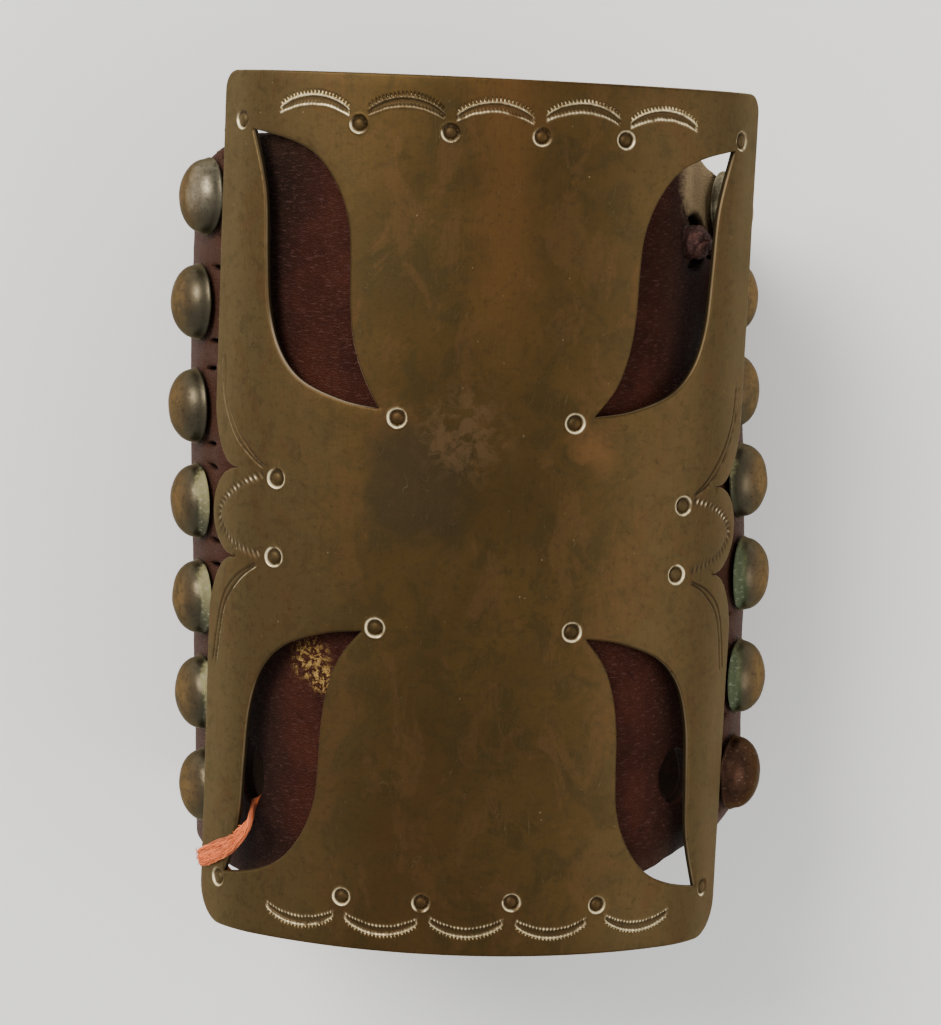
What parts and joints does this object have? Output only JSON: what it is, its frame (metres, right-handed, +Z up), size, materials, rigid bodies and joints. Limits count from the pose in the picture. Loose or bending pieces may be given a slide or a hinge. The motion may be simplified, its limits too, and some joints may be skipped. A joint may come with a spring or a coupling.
{
  "type": "archery bracer",
  "caption": "Bow guard: a curved, pierced and stamped brass plate on a laced dark leather forearm band edged with rows of brass dome studs, one plate corner tied with a frayed orange tie.",
  "frame": {"origin": "middle of the footprint on the surface under the band", "axes": "+Y along the forearm towards the plate's upper end, +Z up out of the plate's crown, +X across the arm to the right of the picture"},
  "size_m": [0.0797, 0.1094, 0.0576],
  "materials": {
    "leather": "worn matt",
    "plate_brass": "aged satin",
    "stud_brass": "worn satin with green crust",
    "knot_leather": "dry matt",
    "tie_fabric": "frayed matt",
    "lace_leather": "matt"
  },
  "bodies": {
    "root": {"leather_band": "leather", "face_plate": "plate_brass", "stud_left_1": "stud_brass", "stud_left_2": "stud_brass", "stud_left_3": "stud_brass", "stud_left_4": "stud_brass", "stud_left_5": "stud_brass", "stud_left_6": "stud_brass", "stud_left_7": "stud_brass", "stud_right_1": "stud_brass", "stud_right_2": "stud_brass", "stud_right_3": "stud_brass", "stud_right_4": "stud_brass", "stud_right_5": "stud_brass", "stud_right_6": "stud_brass", "stud_right_7": "stud_brass", "thong_knot": "knot_leather", "orange_tie": "tie_fabric", "back_lace": "lace_leather"}
  },
  "joints": []
}
